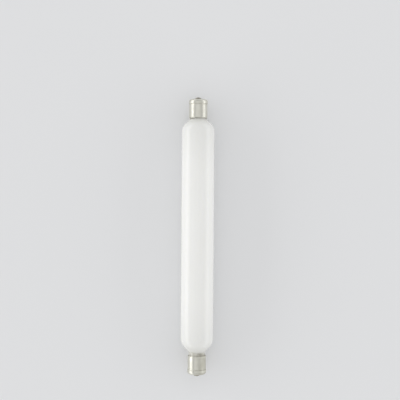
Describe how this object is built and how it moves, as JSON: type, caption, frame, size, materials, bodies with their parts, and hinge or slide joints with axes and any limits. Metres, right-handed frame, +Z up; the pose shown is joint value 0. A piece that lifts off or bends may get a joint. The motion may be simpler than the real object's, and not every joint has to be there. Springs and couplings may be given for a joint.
{
  "type": "tubular light bulb",
  "caption": "Tubular opal glass lamp with necked ends and a plated contact cap cemented on each end, held between sprung lampholders.",
  "frame": {"origin": "middle of the lamp, on its axis", "axes": "+X along the lamp towards its right cap, which is the upper one in the picture; +Z up, the lamp lying"},
  "size_m": [0.221, 0.0258, 0.0258],
  "materials": {
    "opal_glass": "opal, gloss",
    "nickel_plate": "satin plate",
    "black_glass": "gloss",
    "cement": "matte",
    "brass": "dull",
    "solder": "dull",
    "copper": "bare wire"
  },
  "bodies": {
    "root": {"glass_envelope": "opal_glass", "right_cap_shell": "nickel_plate", "right_cap_insulator": "black_glass", "right_cap_cement": "cement", "right_contact_eyelet": "brass", "right_contact_solder": "solder", "right_lead_wire": "copper", "left_cap_shell": "nickel_plate", "left_cap_insulator": "black_glass", "left_cap_cement": "cement", "left_contact_eyelet": "brass", "left_contact_solder": "solder", "left_lead_wire": "copper"}
  },
  "joints": []
}
